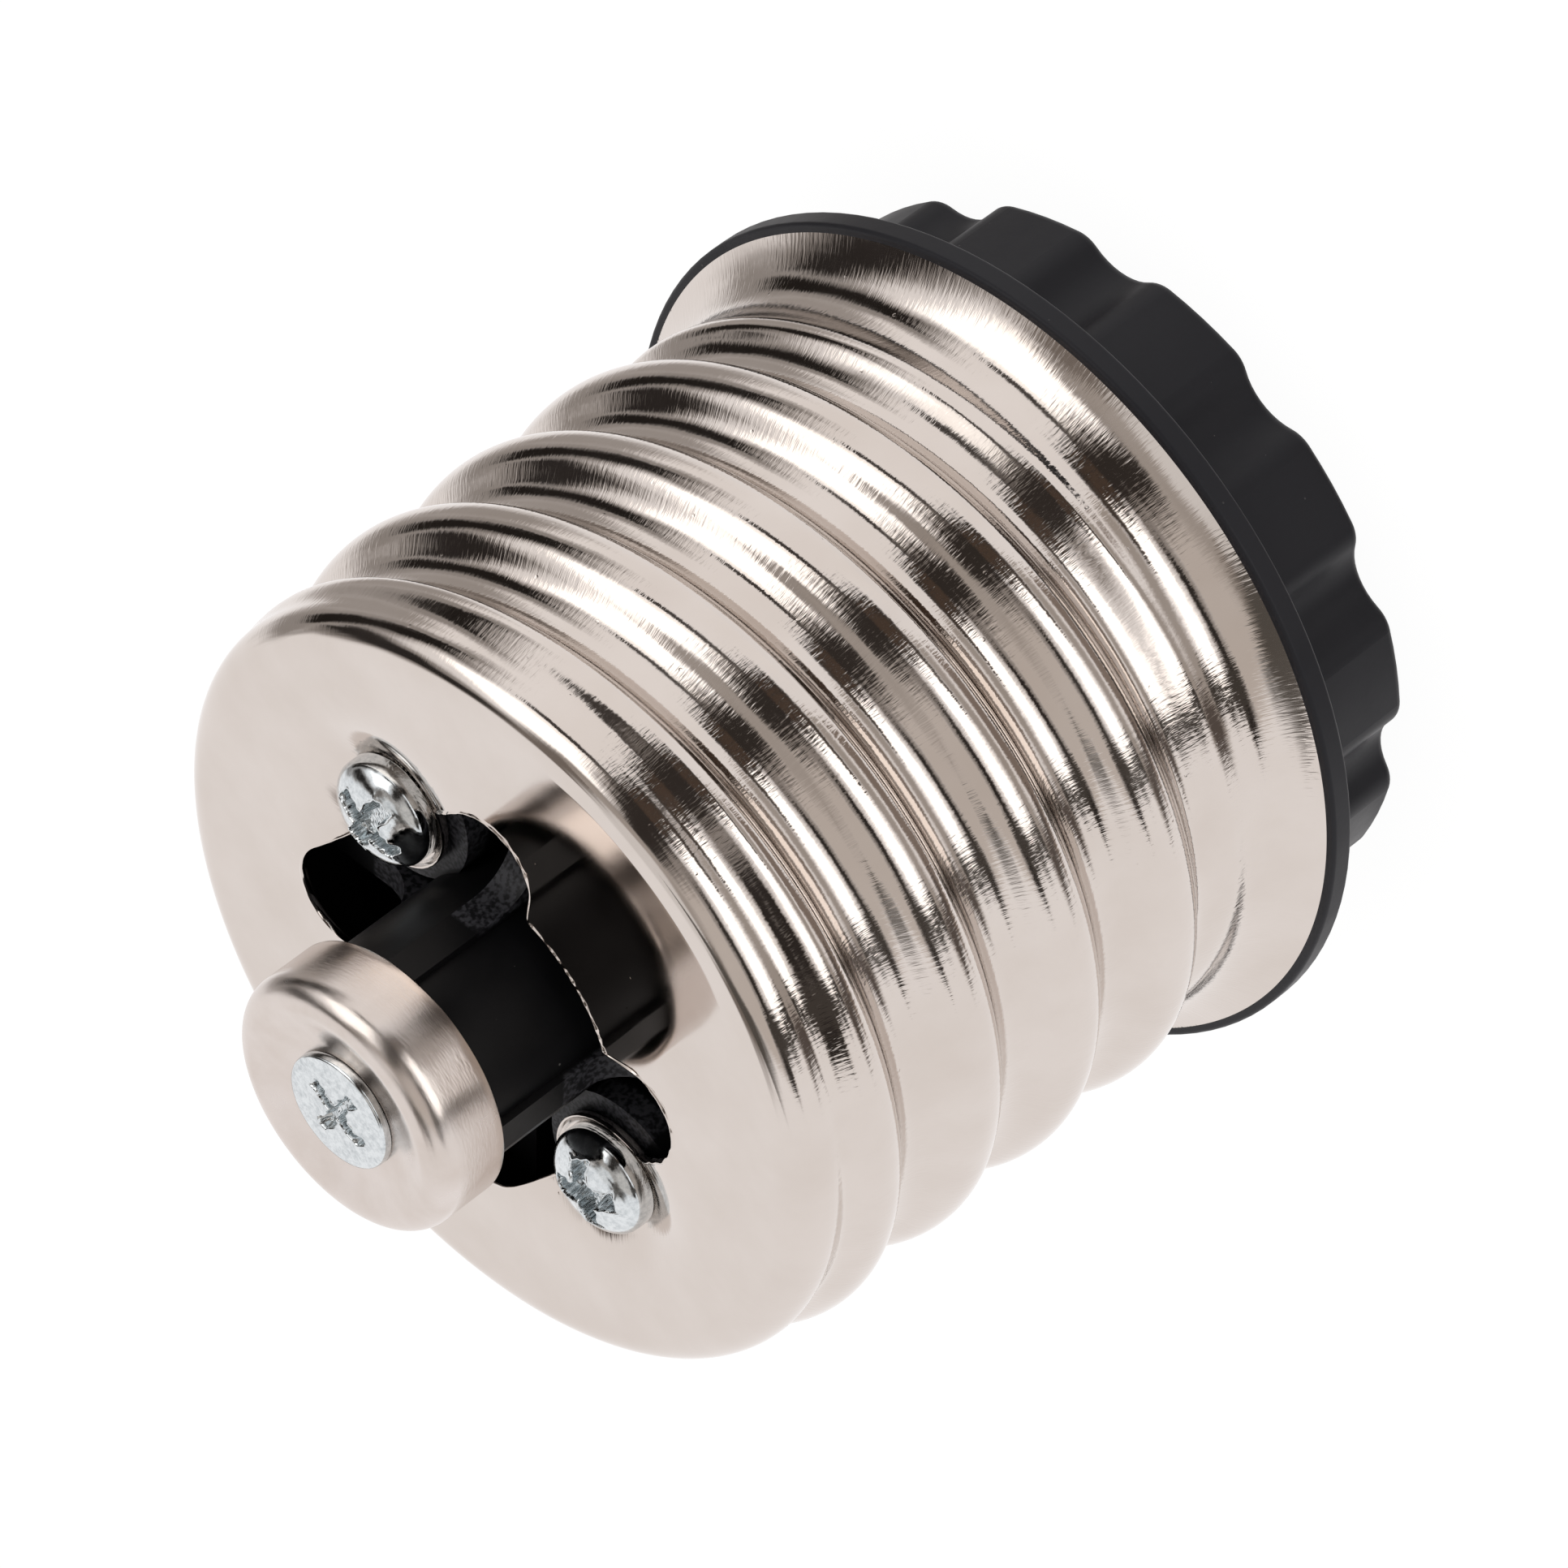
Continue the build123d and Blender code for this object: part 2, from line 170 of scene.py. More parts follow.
grainy_foot_sheen = add(
    tree,
    "ShaderNodeMath",
    {},
    {0: foot.outputs[0], 1: gritty.outputs[0]},
    operation="MULTIPLY",
)
# The grey #3E3E42 is painted sheen, laid on the feet through a grainy mask.
specks_and_sheen = add(
    tree,
    "ShaderNodeMixRGB",
    {"Color2": tone("#3E3E42")},
    {"Fac": grainy_foot_sheen.outputs[0], "Color1": specks_and_sheen.outputs[0]},
)
# Painted sheen: the collar, the lowest 9 mm, is painted greyer than the post.
collar_sheen = add(
    tree,
    "ShaderNodeMapRange",
    {"From Min": 9 * mm, "From Max": 12 * mm, "To Min": 0.6, "To Max": 0},
    {"Value": parts.outputs["Z"]},
)
# The grey #2E2E33 is painted sheen on the collar. The colour chain now holds real dust and grain as
# well as painted sheen.
specks_and_sheen = add(
    tree,
    "ShaderNodeMixRGB",
    {"Color2": tone("#2E2E33")},
    {"Fac": collar_sheen.outputs[0], "Color1": specks_and_sheen.outputs[0]},
)
shader.inputs["Specular IOR Level"].default_value = 0.18
tree.links.new(specks_and_sheen.outputs[0], shader.inputs["Base Color"])
tree.links.new(gloss.outputs[0], shader.inputs["Roughness"])
tree.links.new(relief.outputs[0], shader.inputs["Normal"])
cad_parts["insulating_body"].data.materials.clear()
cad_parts["insulating_body"].data.materials.append(black_phenolic)


# Outer screw shell: 0.4 mm sheet steel drawn to a cup, its thread rolled in, its end plate
# punched and its two ears pressed down, then nickel plated. The nickel mirrors the studio in
# warm grey bands, whose edges fine wrinkles from the draw make look hairy.
plate_z = 40.1
flange_z = 8.5
outer_sheet = 0.4
outer_form = dict(
    pitch=6.35, crest=19.65, root=17.9, low=flange_z, top=plate_z, neck=18.5, rim=19.0,
    corner=1.7, flare=2.2, flare_height=3.0, run_in=3.5, run_out=2.4, lift=4.05,
)
flare_power = 2.4


def ease(t):
    """Rises smoothly from 0 to 1."""
    t = np.clip(t, 0, 1)
    return t * t * (3 - 2 * t)


def rolled(form, angle, z, inset=0.0):
    """Radius of a rolled sheet cup at an angle and a height, in millimetres."""
    crest, root, pitch = form["crest"], form["root"], form["pitch"]
    middle = (crest + root) / 2
    low = form["low"] + form["flare_height"]
    top = form["top"] - form["corner"]
    grown = ease((z - low) / form["run_in"])
    left = ease((top - z) / form["run_out"])
    plain = form["neck"] + (middle - form["neck"]) * grown + (form["rim"] - middle) * (1 - left)
    turns = (z - form["low"] - form["lift"]) / pitch - angle / (2 * pi)
    bend = 2 * atan((crest - root) / (pitch / 2))
    arc = pitch / 4 / sin(bend)
    along = np.abs(turns - np.round(turns)) * pitch
    over = crest - inset - (arc - inset) + np.sqrt(np.maximum((arc - inset) ** 2 - along**2, 0))
    under = root - inset + (arc + inset) - np.sqrt((arc + inset) ** 2 - (pitch / 2 - along) ** 2)
    wave = np.where(along < (arc - inset) * sin(bend), over, under)
    fall = np.maximum(low - z, 0) / form["flare_height"]
    slope = flare_power * form["flare"] / form["flare_height"] * fall ** (flare_power - 1)
    round_off = form["corner"] - inset
    rise = np.clip(z - top, 0, round_off)
    drop = round_off - np.sqrt(round_off**2 - rise**2)
    return (
        plain
        + grown * left * (wave + inset - middle)
        + form["flare"] * fall**flare_power
        - inset * np.sqrt(1 + slope**2)
        - drop
    )


def skin(name, rings, material):
    """A mesh through rings of points in millimetres, each ring closed on itself."""
    rings = np.array(rings)
    rows, columns = rings.shape[:2]
    index = np.arange(rows * columns).reshape(rows, columns)
    beside = np.roll(index, -1, axis=1)
    quads = np.stack([index[:-1], beside[:-1], beside[1:], index[1:]], axis=-1).reshape(-1, 4)
    mesh = bpy.data.meshes.new(name)
    mesh.from_pydata((rings.reshape(-1, 3) * mm).tolist(), [], quads.tolist())
    mesh.polygons.foreach_set("use_smooth", [True] * len(quads))
    mesh.materials.append(material)
    mesh.update()
    piece = bpy.data.objects.new(name, mesh)
    bpy.context.scene.collection.objects.link(piece)
    return piece


opening_radius, lobe_offset, lobe_radius, rib_angle = 7.5, 8.5, 2.7, radians(44.5)
ear_x, ear_radius, ear_flat, ear_ramp, ear_drop = 9.4, 3.1, 2.75, 4.0, 1.2
lobe_x, lobe_y = lobe_offset * cos(rib_angle), lobe_offset * sin(rib_angle)


def opening_edge(angle):
    """Radius where a ray from the axis meets the punched opening's edge."""
    reach = np.full_like(angle, opening_radius)
    c, s = np.cos(angle), np.sin(angle)
    for sx in (1, -1):
        for sy in (1, -1):
            along = sx * lobe_x * c + sy * lobe_y * s
            off = lobe_radius**2 - (lobe_x**2 + lobe_y**2 - along**2)
            hit = (along > 0) & (off > 0)
            reach = np.where(hit, np.maximum(reach, along + np.sqrt(np.maximum(off, 0))), reach)
    side = (lobe_x + lobe_radius) / np.maximum(np.abs(c), 1e-6)
    reach = np.where(np.abs(s) * side < lobe_y, np.maximum(reach, side), reach)
    along = ear_x * np.abs(c)
    off = ear_radius**2 - (ear_x**2 - along**2)
    return np.where(off > 0, np.minimum(reach, along - np.sqrt(np.maximum(off, 0))), reach)


def plate_level(x, y):
    """Height of the end plate's upper face, with the two pressed ears."""
    away = np.hypot(np.abs(x) - ear_x, y)
    return plate_z - ear_drop * np.clip(1 - (away - ear_flat) / ear_ramp, 0, 1) ** 2.2


# The punched edge is traced in fine steps and its corners are rounded a little. The mesh's
# columns are spread half by the edge's length and half by angle, so the lobes get enough.
steps, soften = 3600, 19
fine = np.linspace(0, 2 * pi, steps, endpoint=False)
edge = opening_edge(fine)
window = np.hanning(2 * soften + 3)[1:-1]
window /= window.sum()
edge = np.convolve(np.concatenate([edge[-soften:], edge, edge[:soften]]), window, mode="valid")
edge_x, edge_y = edge * np.cos(fine), edge * np.sin(fine)
run = np.hypot(np.roll(edge_x, -1) - edge_x, np.roll(edge_y, -1) - edge_y)
share = np.concatenate([[0], np.cumsum(run)]) / run.sum()
spread = 0.5 * share + 0.5 * np.linspace(0, 1, steps + 1)
columns = 384
turn = np.interp(np.arange(columns) / columns, spread, np.linspace(0, 2 * pi, steps + 1))
edge = np.interp(turn, fine, edge, period=2 * pi)
# The punch left a ragged burr on one side of the opening, and hardly any on the other.
ragged = np.clip(-np.sin(turn) * 1.6, 0.15, 1)
burr = 0.5 + 0.5 * np.sin(turn * 61 + 1.3) * np.sin(turn * 23) + 0.25 * np.sin(turn * 97 + 0.4)
burr_size = 0.09
edge = edge + burr_size * ragged * (burr - 0.5)
bead = 0.03 + burr_size * ragged * np.clip(burr, 0, 1)


def ring(radius, level):
    """A ring of points about the axis, one for each angle in turn."""
    level = np.broadcast_to(level, turn.shape)
    return np.stack([radius * np.cos(turn), radius * np.sin(turn), level], axis=-1)


# The rings run up the outside, over the plate to the opening, and back down the inside.
thread_top = plate_z - outer_form["corner"]
flare_top = flange_z + outer_form["flare_height"]
rings = []
levels = [np.linspace(flange_z, flare_top, 15)[:-1], np.linspace(flare_top, thread_top, 122)]
for z in np.concatenate(levels):
    rings.append(ring(rolled(outer_form, turn, z), z))
for lift in np.linspace(0, pi / 2, 11)[1:]:
    z = thread_top + outer_form["corner"] * sin(lift)
    rings.append(ring(rolled(outer_form, turn, z), z))
flat_edge = rolled(outer_form, turn, plate_z)
burr_width = 0.2
for t in np.linspace(1, 0, 65)[1:] ** 1.5:
    radius = edge + burr_width + (flat_edge - edge - burr_width) * t
    rings.append(ring(radius, plate_level(radius * np.cos(turn), radius * np.sin(turn))))
edge_level = plate_level(edge * np.cos(turn), edge * np.sin(turn))
for outward, lift in ((0.12, 0.25), (0.075, 0.8), (0.03, 1.0), (0.0, 0.4)):
    rings.append(ring(edge + outward, edge_level + bead * lift))
for outward, drop in ((0.0, 0.32), (0.04, outer_sheet)):
    rings.append(ring(edge + outward, edge_level - drop))
for t in (0.05, 0.15, 0.35, 0.65, 1.0):
    radius = edge + 0.04 + (flat_edge - edge - 0.5) * t
    level = plate_level(radius * np.cos(turn), radius * np.sin(turn))
    rings.append(ring(radius, level - outer_sheet))
for lift in (60, 30, 0):
    z = thread_top + (outer_form["corner"] - outer_sheet) * sin(radians(lift))
    rings.append(ring(rolled(outer_form, turn, z, outer_sheet), z))
for z in np.linspace(thread_top, flange_z, 25)[1:]:
    rings.append(ring(rolled(outer_form, turn, z, outer_sheet), z))


def metal(name):
    """A bare metal's material, with its node tree, its shader and its place on the piece."""
    material = bpy.data.materials.new(name)
    material.use_nodes = True
    shader = material.node_tree.nodes["Principled BSDF"]
    shader.inputs["Metallic"].default_value = 1
    place = add(material.node_tree, "ShaderNodeTexCoord").outputs["Object"]
    return material, material.node_tree, shader, place


nickel, tree, shader, place = metal("nickel_plate_on_drawn_steel")
parts = add(tree, "ShaderNodeSeparateXYZ", {}, {0: place})
around = add(
    tree, "ShaderNodeMath", {}, {0: parts.outputs["Y"], 1: parts.outputs["X"]}, operation="ARCTAN2"
)
# Draw wrinkles: fine ridges round the shell, drawn 0.17 mm apart and about 0.8 mm long
# down it so that they show. The end plate stayed flat and has none.
wrinkle_gap, wrinkle_length = 0.17, 0.8
across = add(
    tree,
    "ShaderNodeMath",
    {1: outer_form["rim"] / wrinkle_gap},
    {0: around.outputs[0]},
    operation="MULTIPLY",
)
lengthwise = add(
    tree,
    "ShaderNodeMath",
    {1: 1 / (wrinkle_length * mm)},
    {0: parts.outputs["Z"]},
    operation="MULTIPLY",
)
strands = add(tree, "ShaderNodeCombineXYZ", {}, {0: across.outputs[0], 1: lengthwise.outputs[0]})
wrinkles = add(
    tree,
    "ShaderNodeTexNoise",
    {"Scale": 1, "Detail": 2, "Roughness": 0.6},
    {"Vector": strands.outputs[0]},
)
drawn = add(
    tree,
    "ShaderNodeMapRange",
    {"From Min": 38.6 * mm, "From Max": 39.9 * mm, "To Min": 1, "To Max": 0},
    {"Value": parts.outputs["Z"]},
)
wrinkles = add(
    tree,
    "ShaderNodeMath",
    {},
    {0: wrinkles.outputs["Fac"], 1: drawn.outputs[0]},
    operation="MULTIPLY",
)
waves = add(tree, "ShaderNodeTexNoise", {"Scale": 1 / (5 * mm), "Detail": 1}, {"Vector": place})
pits = add(tree, "ShaderNodeTexVoronoi", {"Scale": 1 / (1.6 * mm)}, {"Vector": place})
pit = add(
    tree,
    "ShaderNodeMapRange",
    {"From Min": 0.03, "From Max": 0.06, "To Min": 0, "To Max": 1},
    {"Value": pits.outputs["Distance"]},
)
relief = add(
    tree,
    "ShaderNodeBump",
    {"Strength": 1, "Distance": 0.012 * mm},
    {"Height": wrinkles.outputs[0]},
)
relief = add(
    tree,
    "ShaderNodeBump",
    {"Strength": 1, "Distance": 0.025 * mm},
    {"Height": waves.outputs["Fac"], "Normal": relief.outputs[0]},
)
relief = add(
    tree,
    "ShaderNodeBump",
    {"Strength": 0.6, "Distance": 0.01 * mm},
    {"Height": pit.outputs[0], "Normal": relief.outputs[0]},
)
haze = add(tree, "ShaderNodeTexNoise", {"Scale": 1 / (5 * mm), "Detail": 5}, {"Vector": place})
gloss = add(
    tree,
    "ShaderNodeMapRange",
    {"From Min": 0.35, "From Max": 0.65, "To Min": 0.045, "To Max": 0.11},
    {"Value": haze.outputs["Fac"]},
)
stain = add(tree, "ShaderNodeValToRGB", {}, {"Fac": haze.outputs["Fac"]})
stain.color_ramp.elements[0].position = 0.3
stain.color_ramp.elements[0].color = tone("#CFC6BF")
stain.color_ramp.elements[1].position = 0.65
stain.color_ramp.elements[1].color = tone("#D6CEC8")
tree.links.new(stain.outputs[0], shader.inputs["Base Color"])
tree.links.new(gloss.outputs[0], shader.inputs["Roughness"])
tree.links.new(relief.outputs[0], shader.inputs["Normal"])

outer_shell = skin("outer_shell_sheet", rings, nickel)
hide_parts("outer_screw_shell")
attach(outer_shell, "adapter")


# Inner screw shell: the same nickel-plated sheet, 0.35 mm thick, with the lamp's thread
# rolled in. Its end plate is held on the moulding's floor by the two shell screws.
inner_sheet, mouth_z, inner_plate_z, inner_bend_z, inner_opening = 0.35, 6.0, 32.0, 30.8, 6.6
inner_form = dict(
    pitch=25.4 / 7, crest=13.8, root=12.8, low=mouth_z, top=inner_plate_z, neck=13.5, rim=13.4,
    corner=1.2, flare=0.3, flare_height=1.0, run_in=2.0, run_out=2.0, lift=0.0,
)
turn = np.linspace(0, 2 * pi, 240, endpoint=False)
rings = []
for z in np.linspace(mouth_z, inner_bend_z, 26):
    rings.append(ring(rolled(inner_form, turn, z), z))
for lift in (30, 60, 90):
    z = inner_bend_z + inner_form["corner"] * sin(radians(lift))
    rings.append(ring(rolled(inner_form, turn, z), z))
rings.append(ring(inner_opening, inner_plate_z))
for radius in (inner_opening, 7.0, 9.0, 11.0):
    rings.append(ring(radius, inner_plate_z - inner_sheet))
for lift in np.linspace(90, 0, 7):
    z = inner_bend_z + (inner_form["corner"] - inner_sheet) * sin(radians(lift))
    rings.append(ring(rolled(inner_form, turn, z, inner_sheet), z))
for z in np.linspace(inner_bend_z, mouth_z, 130)[1:]:
    rings.append(ring(rolled(inner_form, turn, z, inner_sheet), z))
rings.append(rings[0])
inner_shell = skin("inner_shell_sheet", rings, nickel)
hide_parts("inner_screw_shell")
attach(inner_shell, "adapter")


# Contact cap: 0.4 mm brass sheet drawn over the post's end, dished under the screw head
# and nickel plated. Tumbling left it satin, with faint scratches round the skirt.
cap_z, cap_radius, cap_corner, cap_foot, screw_seat_z = 49.1, 6.42, 1.2, 45.35, 48.55
dish_width, dish_depth, rim_lift = 2.1, 0.54, 0.033
turn = np.linspace(0, 2 * pi, 160, endpoint=False)
cap_lip = ((6.02, 47.2), (6.02, 45.42), (6.08, cap_foot), (6.34, cap_foot), (6.4, 45.37))
rings = [ring(radius, z) for radius, z in cap_lip]
rings += [ring(cap_radius, z) for z in (45.43, 45.8, 46.6, 47.5)]
for lift in np.linspace(0, pi / 2, 14):
    radius = cap_radius - cap_corner * (1 - cos(lift))
    rings.append(ring(radius, cap_z - cap_corner * (1 - sin(lift))))
for t in np.linspace(0, 1, 14)[1:]:
    dish = dish_depth * float(ease(0.15 + 0.85 * t)) - rim_lift * (1 - t)
    rings.append(ring(cap_radius - cap_corner - dish_width * t, cap_z - dish))
rings += [ring(radius, screw_seat_z) for radius in (3.0, 2.4, 1.6)]
satin, tree, shader, place = metal("satin_nickel_on_brass_cap")
brushing = add(
    tree,
    "ShaderNodeMapping",
    {"Scale": (1 / (0.5 * mm), 1 / (0.5 * mm), 1 / (0.12 * mm))},
    {"Vector": place},
)
scratches = add(
    tree,
    "ShaderNodeTexNoise",
    {"Scale": 1, "Detail": 3},
    {"Vector": brushing.outputs[0]},
)
cloud = add(tree, "ShaderNodeTexNoise", {"Scale": 1 / (2.2 * mm), "Detail": 5}, {"Vector": place})
gloss = add(
    tree,
    "ShaderNodeMapRange",
    {"From Min": 0.3, "From Max": 0.7, "To Min": 0.17, "To Max": 0.28},
    {"Value": cloud.outputs["Fac"]},
)
shade = add(tree, "ShaderNodeValToRGB", {}, {"Fac": cloud.outputs["Fac"]})
shade.color_ramp.elements[0].position = 0.3
shade.color_ramp.elements[0].color = tone("#CEC4BD")
shade.color_ramp.elements[1].position = 0.7
shade.color_ramp.elements[1].color = tone("#DAD2CD")
relief = add(
    tree,
    "ShaderNodeBump",
    {"Strength": 0.6, "Distance": 0.008 * mm},
    {"Height": scratches.outputs["Fac"]},
)
tree.links.new(shade.outputs[0], shader.inputs["Base Color"])
tree.links.new(gloss.outputs[0], shader.inputs["Roughness"])
tree.links.new(relief.outputs[0], shader.inputs["Normal"])
cap = skin("cap_sheet", rings, satin)
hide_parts("contact_cap")
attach(cap, "adapter")


# Screws and nuts: cold-headed mild steel with bright zinc plate, which mirrors bluish, a
# little pitted and dull in its hollows. Two pan heads hold the shells, one flat head the cap,
# and the driver has torn all three recesses.
zinc, tree, shader, place = metal("bright_zinc_on_steel")
pitting = add(
    tree,
    "ShaderNodeTexNoise",
    {"Scale": 1 / (0.3 * mm), "Detail": 4, "Roughness": 0.7},
    {"Vector": place},
)
gloss = add(
    tree,
    "ShaderNodeMapRange",
    {"From Min": 0.35, "From Max": 0.75, "To Min": 0.04, "To Max": 0.22},
    {"Value": pitting.outputs["Fac"]},
)
shade = add(tree, "ShaderNodeValToRGB", {}, {"Fac": pitting.outputs["Fac"]})
shade.color_ramp.elements[0].position = 0.3
shade.color_ramp.elements[0].color = tone("#B9BFC2")
shade.color_ramp.elements[1].position = 0.6
shade.color_ramp.elements[1].color = tone("#DDE2E4")
relief = add(
    tree,
    "ShaderNodeBump",
    {"Strength": 0.3, "Distance": 0.01 * mm},
    {"Height": pitting.outputs["Fac"]},
)
tree.links.new(shade.outputs[0], shader.inputs["Base Color"])
tree.links.new(gloss.outputs[0], shader.inputs["Roughness"])
tree.links.new(relief.outputs[0], shader.inputs["Normal"])

turn = np.linspace(0, 2 * pi, 200, endpoint=False)
pinch, recess_slope, lip_width = 0.02, 0.2, 0.07


def recessed(radius, crown, span, width, depth, tear, aim):
    """Rings of a screw head's face, with the cross recess that the driver has torn."""
    face = []
    for r in np.linspace(pinch, radius, 64):
        x, y = r * np.cos(turn - aim), r * np.sin(turn - aim)
        torn = 0.7 * np.sin(4.1 * x + 9 * aim) * np.sin(5.3 * y + aim)
        torn = torn + 0.3 * np.sin(12 * x - 9 * y + aim)
        bar_x = np.maximum(np.abs(x) - span, np.abs(y) - width)
        bar_y = np.maximum(np.abs(y) - span, np.abs(x) - width)
        outside = np.minimum(bar_x, bar_y) + tear * torn
        sunk = ease(-outside / recess_slope)
        ridge = np.exp(-((outside / lip_width) ** 2)) * (0.5 + 0.5 * torn)
        ribs = 0.02 * sunk * np.sin(17 * (x + y) + 3 * torn)
        hollow = depth * sunk * (1 - 0.3 * r / span)
        face.append(ring(r, crown(r) - hollow + tear * 0.5 * ridge + ribs))
    return face


ear_z, screw_tip, pan_radius, pan_side, pan_crown = 38.9, 28.9, 2.65, 0.62, 1.3
shank, thread_root, thread_depth, thread_pitch = 1.25, 1.1, 0.15, 0.45


def pan(r):
    """Height of a pan head's dome."""
    return ear_z + pan_side + pan_crown * max(1 - (r / pan_radius) ** 2, 0) ** 0.5


for side, sign, aim in (("right", 1, 0.35), ("left", -1, 1.1)):
    rings = recessed(2.62, pan, span=1.8, width=0.55, depth=1.1, tear=0.12, aim=aim)
    under_head = (
        (pan_radius, 0.55), (pan_radius, 0.12), (2.6, 0.02), (1.4, 0.02), (shank, -0.1)
    )
    rings += [ring(r, ear_z + z) for r, z in under_head]
    rings += [ring(shank, z) for z in (36, 33, 30.4)]
    for z in np.linspace(30.3, screw_tip + 0.3, 34):
        cut = np.abs(((z / thread_pitch - turn / (2 * pi)) % 1) * 2 - 1)
        rings.append(ring(thread_root + thread_depth * cut, z))
    rings += [ring(1.0, screw_tip), ring(pinch, screw_tip)]
    screw = skin(f"pan_head_screw_{side}", np.array(rings) + (sign * ear_x, 0, 0), zinc)
    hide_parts(f"shell_screw_{side}")
    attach(screw, "adapter")


disc_z, disc_radius, disc_crown, long_shank, long_tip = 49.04, 2.8, 0.02, 1.5, 26.5


def disc(r):
    """Height of the flat head's face."""
    return disc_z - disc_crown * (r / disc_radius) ** 2


rings = recessed(2.72, disc, span=1.75, width=0.36, depth=0.65, tear=0.16, aim=0.25)
disc_side = (
    (disc_radius, 49.0), (2.85, 48.92), (2.87, 48.8), (2.87, 48.6), (2.82, 48.56), (1.6, 48.56)
)
rings += [ring(r, z) for r, z in disc_side]
rings += [ring(long_shank, z) for z in (48.4, 40, 33, 26.75)]
rings += [ring(1.25, long_tip), ring(pinch, long_tip)]
screw = skin("flat_head_screw", rings, zinc)
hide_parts("contact_screw")
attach(screw, "adapter")
for name in ("contact_nut", "shell_nut_right", "shell_nut_left"):
    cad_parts[name].data.materials.clear()
    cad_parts[name].data.materials.append(zinc)


# Contact leaf: a strip of phosphor bronze, 6 mm wide and 0.4 mm thick, folded once so that
# its tongue springs. Rolling left fine lines with a warm satin sheen. Its base is clamped
# under the long screw's nut.
leaf_top, leaf_low, leaf_half = 29.2, 23.8, 3.0
bend_y, bend_radius, tongue_y = 8, 1.2, 3
path = [(y, leaf_top) for y in np.linspace(-4, bend_y, 13)]
for a in np.linspace(0, pi, 13)[1:]:
    path.append((bend_y + bend_radius * sin(a), leaf_top - bend_radius + bend_radius * cos(a)))
under_bend = leaf_top - 2 * bend_radius
for t in np.linspace(0, 1, 13)[1:]:
    path.append((bend_y - (bend_y - tongue_y) * t, under_bend + (leaf_low - under_bend) * t))
path += [(y, leaf_low) for y in np.linspace(tongue_y, -3, 7)[1:]]
path = np.array(path)
heading = np.gradient(path, axis=0)
heading /= np.linalg.norm(heading, axis=1)[:, None]
side = np.stack([-heading[:, 1], heading[:, 0]], axis=1)
right_side = [(2.94, -0.2), (leaf_half, -0.14), (leaf_half, 0.14), (2.94, 0.2)]
outline = [(-leaf_half, -0.14), (-2.94, -0.2), *right_side, (-2.94, 0.2), (-leaf_half, 0.14)]
strip = []
for (y, z), (off_y, off_z) in zip(path, side):
    strip.append([(x, y + h * off_y, z + h * off_z) for x, h in outline])
ends = [[tuple(np.mean(strip[k], axis=0))] * len(outline) for k in (0, -1)]
strip = [ends[0], *strip, ends[1]]
bronze, tree, shader, place = metal("phosphor_bronze_strip")
rolling = add(
    tree,
    "ShaderNodeMapping",
    {"Scale": (1 / (0.1 * mm), 1 / (3 * mm), 1 / (3 * mm))},
    {"Vector": place},
)
lines = add(tree, "ShaderNodeTexNoise", {"Scale": 1, "Detail": 3}, {"Vector": rolling.outputs[0]})
shade = add(tree, "ShaderNodeValToRGB", {}, {"Fac": lines.outputs["Fac"]})
shade.color_ramp.elements[0].color = tone("#B98F5C")
shade.color_ramp.elements[1].color = tone("#DDB987")
gloss = add(
    tree,
    "ShaderNodeMapRange",
    {"To Min": 0.22, "To Max": 0.42},
    {"Value": lines.outputs["Fac"]},
)
relief = add(
    tree,
    "ShaderNodeBump",
    {"Strength": 0.5, "Distance": 0.005 * mm},
    {"Height": lines.outputs["Fac"]},
)
tree.links.new(shade.outputs[0], shader.inputs["Base Color"])
tree.links.new(gloss.outputs[0], shader.inputs["Roughness"])
tree.links.new(relief.outputs[0], shader.inputs["Normal"])
leaf = skin("leaf_strip", strip, bronze)
leaf.data.polygons.foreach_set("use_smooth", [False] * len(leaf.data.polygons))
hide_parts("contact_leaf")
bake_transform(leaf)


# Contact rivet: turned brass with a shallow dome, which meets the lamp. It shines yellow,
# with a little tarnish, and is headed over on the leaf's free end.
brass, tree, shader, place = metal("turned_brass")
tarnish = add(tree, "ShaderNodeTexNoise", {"Scale": 1 / (0.8 * mm), "Detail": 4}, {"Vector": place})
shade = add(tree, "ShaderNodeValToRGB", {}, {"Fac": tarnish.outputs["Fac"]})
shade.color_ramp.elements[0].color = tone("#B8974F")
shade.color_ramp.elements[1].color = tone("#E5CC8A")
gloss = add(
    tree,
    "ShaderNodeMapRange",
    {"To Min": 0.15, "To Max": 0.35},
    {"Value": tarnish.outputs["Fac"]},
)
relief = add(
    tree,
    "ShaderNodeBump",
    {"Strength": 0.4, "Distance": 0.006 * mm},
    {"Height": tarnish.outputs["Fac"]},
)
tree.links.new(shade.outputs[0], shader.inputs["Base Color"])
tree.links.new(gloss.outputs[0], shader.inputs["Roughness"])
tree.links.new(relief.outputs[0], shader.inputs["Normal"])
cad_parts["contact_rivet"].data.materials.clear()
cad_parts["contact_rivet"].data.materials.append(brass)


# Studio: a cream room with soft boxes and black flags between them. The shiny plate shows the
# room by direction, so it is painted on the world as cards with soft edges.
world = bpy.data.worlds.new("studio")
bpy.context.scene.world = world
world.use_nodes = True
tree = world.node_tree
tree.nodes.clear()
way = add(tree, "ShaderNodeTexCoord").outputs["Generated"]
blur = add(tree, "ShaderNodeTexNoise", {"Scale": 5, "Detail": 3}, {"Vector": way})
parts = add(tree, "ShaderNodeSeparateXYZ", {}, {0: way})
azimuth = add(
    tree,
    "ShaderNodeMath",
    {},
    {0: parts.outputs["Y"], 1: parts.outputs["X"]},
    operation="ARCTAN2",
)
height = add(tree, "ShaderNodeMath", {}, {0: parts.outputs["Z"]}, operation="ARCSINE")
wobble = add(
    tree,
    "ShaderNodeMapRange",
    {"From Min": 0.3, "From Max": 0.7, "To Min": -3, "To Max": 3},
    {"Value": blur.outputs[0]},
)
